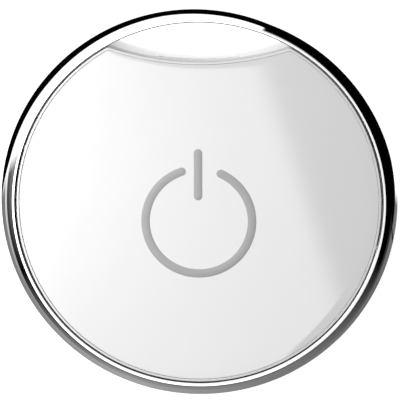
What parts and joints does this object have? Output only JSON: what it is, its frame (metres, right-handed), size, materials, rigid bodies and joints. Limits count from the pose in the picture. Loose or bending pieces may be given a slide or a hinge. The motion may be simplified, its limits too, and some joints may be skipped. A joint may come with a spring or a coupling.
{
  "type": "tracker tag",
  "caption": "Round tracker tag with a push-button face plate, a metal ring, a key loop opening and a coin cell under a lid that unsnaps.",
  "frame": {"origin": "middle of the tag, on the surface that its foot rests on", "axes": "+Z out of the face, +Y towards the key loop, +X to the right of the face"},
  "size_m": [0.042, 0.042, 0.0074],
  "materials": {
    "housing_plastic": "fine moulded texture",
    "ring_metal": "polished",
    "adhesive": "soft",
    "piezo_brass": "satin",
    "piezo_ceramic": "silvered, satin",
    "gilt_contact": "gilt, polished",
    "board_green": "solder mask",
    "screw_steel": "bright",
    "cradle_plastic": "moulded",
    "cell_steel": "fine brushed",
    "cell_gasket": "moulded",
    "cell_core": "pressed powder",
    "chip_plastic": "moulded",
    "antenna_ceramic": "satin",
    "inductor_ferrite": "matt",
    "capacitor_ceramic": "satin",
    "plunger_plastic": "moulded",
    "frame_plastic": "gloss",
    "gasket_rubber": "soft",
    "pad_rubber": "soft, translucent",
    "plate_plastic": "high gloss",
    "mark_plastic": "satin"
  },
  "bodies": {
    "base": {"rear_housing": "housing_plastic", "bezel_ring": "ring_metal", "piezo_adhesive": "adhesive", "piezo_plate": "piezo_brass", "piezo_ceramic": "piezo_ceramic", "piezo_pins": "gilt_contact", "circuit_board": "board_green", "board_screws": "screw_steel", "cell_cradle": "cradle_plastic", "negative_contact": "gilt_contact", "positive_contact": "gilt_contact", "coin_cell_can": "cell_steel", "coin_cell_cap": "cell_steel", "coin_cell_gasket": "cell_gasket", "coin_cell_core": "cell_core", "radio_chip": "chip_plastic", "crystal": "screw_steel", "chip_antenna": "antenna_ceramic", "board_inductor": "inductor_ferrite", "board_capacitors": "capacitor_ceramic", "board_resistors": "chip_plastic", "switch_base": "chip_plastic", "switch_cover": "screw_steel", "switch_dome": "screw_steel"},
    "plunger": {"switch_plunger": "plunger_plastic"},
    "lid": {"front_frame": "frame_plastic", "frame_gasket": "gasket_rubber", "return_pads": "pad_rubber"},
    "button": {"face_plate": "plate_plastic", "power_mark": "mark_plastic"}
  },
  "joints": [
    {"name": "lid_lift", "type": "slide", "parent": "base", "child": "lid", "axis": [0, 0, 1], "range_m": [0, 0.012]},
    {"name": "face_press", "type": "slide", "parent": "lid", "child": "button", "axis": [0, 0, -1], "range_m": [0, 0.0003], "stiffness_N_per_m": 1500, "springref_m": -0.0002, "deforming": ["return_pads"]},
    {"name": "plunger_press", "type": "slide", "parent": "base", "child": "plunger", "axis": [0, 0, -1], "range_m": [0, 0.0003], "deforming": ["switch_dome"]}
  ],
  "couplings": [
    {"joint": "plunger_press", "follows": "face_press", "ratio": 1}
  ]
}
